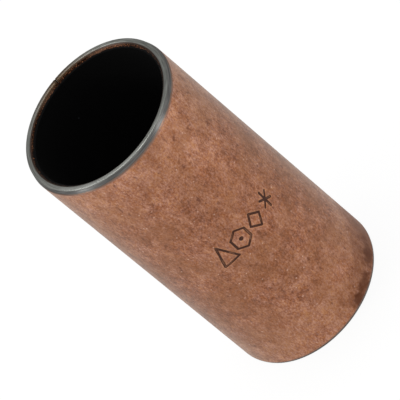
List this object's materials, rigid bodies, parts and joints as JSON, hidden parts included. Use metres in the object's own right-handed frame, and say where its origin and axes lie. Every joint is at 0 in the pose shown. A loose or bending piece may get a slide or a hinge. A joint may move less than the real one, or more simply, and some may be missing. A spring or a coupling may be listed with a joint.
{
  "type": "wrapped plain bushing",
  "caption": "Wrapped plain bushing: a copper-flashed steel tube with a bronze and dark polymer lining, chamfered ends and a butt seam, pressed into a housing to carry a shaft.",
  "frame": {"origin": "middle of the lower end of the tube, on the bore's axis", "axes": "+Z along the bore, up as the tube stands on its lower end; +Y towards the butt seam; -Y towards the inspection marks"},
  "size_m": [0.025, 0.025, 0.05],
  "materials": {
    "copper_flashed_steel": "thin dull copper flash on the outside, bare turned steel at the end faces and chamfers",
    "bronze_lining": "sintered bronze, brown and granular where the inner chamfer bares it, under a matt black polymer running layer"
  },
  "bodies": {
    "root": {"steel_back": "copper_flashed_steel", "bearing_lining": "bronze_lining"}
  },
  "joints": []
}
